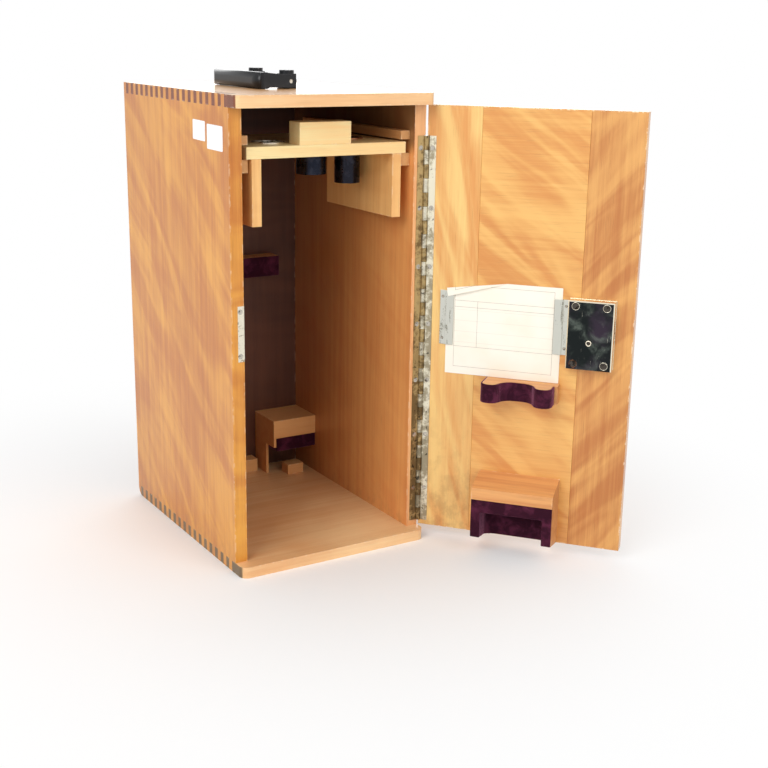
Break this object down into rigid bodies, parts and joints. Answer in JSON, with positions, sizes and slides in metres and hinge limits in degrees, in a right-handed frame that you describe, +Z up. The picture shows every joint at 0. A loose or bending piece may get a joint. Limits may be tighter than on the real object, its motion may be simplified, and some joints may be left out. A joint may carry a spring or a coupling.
{
  "type": "microscope case",
  "caption": "Upright wooden instrument case with a side-hinged door on a piano hinge, box lock, pull-out tray, velvet-lined cradles and a folding handle.",
  "frame": {"origin": "centre of the underside of the bottom board", "axes": "+Z up; +X towards the hinge side; +Y towards the back, so the door opening faces -Y"},
  "size_m": [0.336, 0.3946, 0.4463],
  "materials": {
    "case_wood": "varnished mahogany",
    "door_wood": "varnished mahogany, paler inside",
    "fitting_wood": "pale varnished hardwood",
    "velvet": "maroon velvet",
    "nickel": "nickel plate with patina",
    "steel": "plain",
    "black_enamel": "gloss",
    "black_ebonite": "satin",
    "card_paper": "aged paper"
  },
  "bodies": {
    "case": {"left_side": "case_wood", "right_side": "case_wood", "top_board": "case_wood", "bottom_board": "case_wood", "back_board": "case_wood", "lower_runner_left": "fitting_wood", "lower_runner_right": "fitting_wood", "upper_runner_left": "fitting_wood", "upper_runner_right": "fitting_wood", "bridge_left": "fitting_wood", "bridge_right": "fitting_wood", "bridge_pad_left": "velvet", "bridge_pad_right": "velvet", "heel_strip": "fitting_wood", "chock_left": "fitting_wood", "chock_right": "fitting_wood", "back_pad_block": "fitting_wood", "back_pad_velvet": "velvet", "strike_plate": "nickel", "strike_screws": "nickel", "hinge_case_leaf": "nickel", "hinge_pin": "nickel", "hinge_case_screws": "nickel", "handle_posts": "black_enamel", "handle_pins": "black_enamel", "handle_caps": "black_enamel"},
    "door": {"door_hinge_board": "door_wood", "door_centre_board": "door_wood", "door_lock_board": "door_wood", "hinge_door_leaf": "nickel", "hinge_door_screws": "nickel", "lock_case": "nickel", "lock_base_plate": "nickel", "lock_screws": "nickel", "bolt_stud": "steel", "key_pin": "nickel", "card_rail_left": "nickel", "card_rail_right": "nickel", "rail_nails": "nickel", "upper_cradle": "fitting_wood", "upper_cradle_velvet": "velvet", "lower_cradle": "fitting_wood", "lower_cradle_velvet": "velvet"},
    "bolt": {"lock_bolt": "steel"},
    "card": {"record_card": "card_paper"},
    "tray": {"tray_board": "fitting_wood", "tray_leg_left": "fitting_wood", "tray_leg_right": "fitting_wood", "tray_grip_block": "fitting_wood", "cup_left": "nickel", "cup_middle": "black_ebonite", "cup_right": "black_ebonite"},
    "handle": {"handle_grip": "black_enamel"}
  },
  "joints": [
    {"name": "door_swing", "type": "hinge", "parent": "case", "child": "door", "pos_m": [0.09935, -0.1138, 0.2], "axis": [0, 0, 1], "range_deg": [-129.66, 50]},
    {"name": "tray_slide", "type": "slide", "parent": "case", "child": "tray", "axis": [0, -1, 0], "range_m": [0, 0.1]},
    {"name": "handle_lift", "type": "hinge", "parent": "case", "child": "handle", "pos_m": [-0.0008, 0.01, 0.4369], "axis": [0, 1, 0], "range_deg": [0, 170]},
    {"name": "bolt_slide", "type": "slide", "parent": "door", "child": "bolt", "axis": [0.6382, -0.7698, 0], "range_m": [0, 0.009]},
    {"name": "card_slide", "type": "slide", "parent": "door", "child": "card", "axis": [0, 0, 1], "range_m": [0, 0.05]}
  ]
}
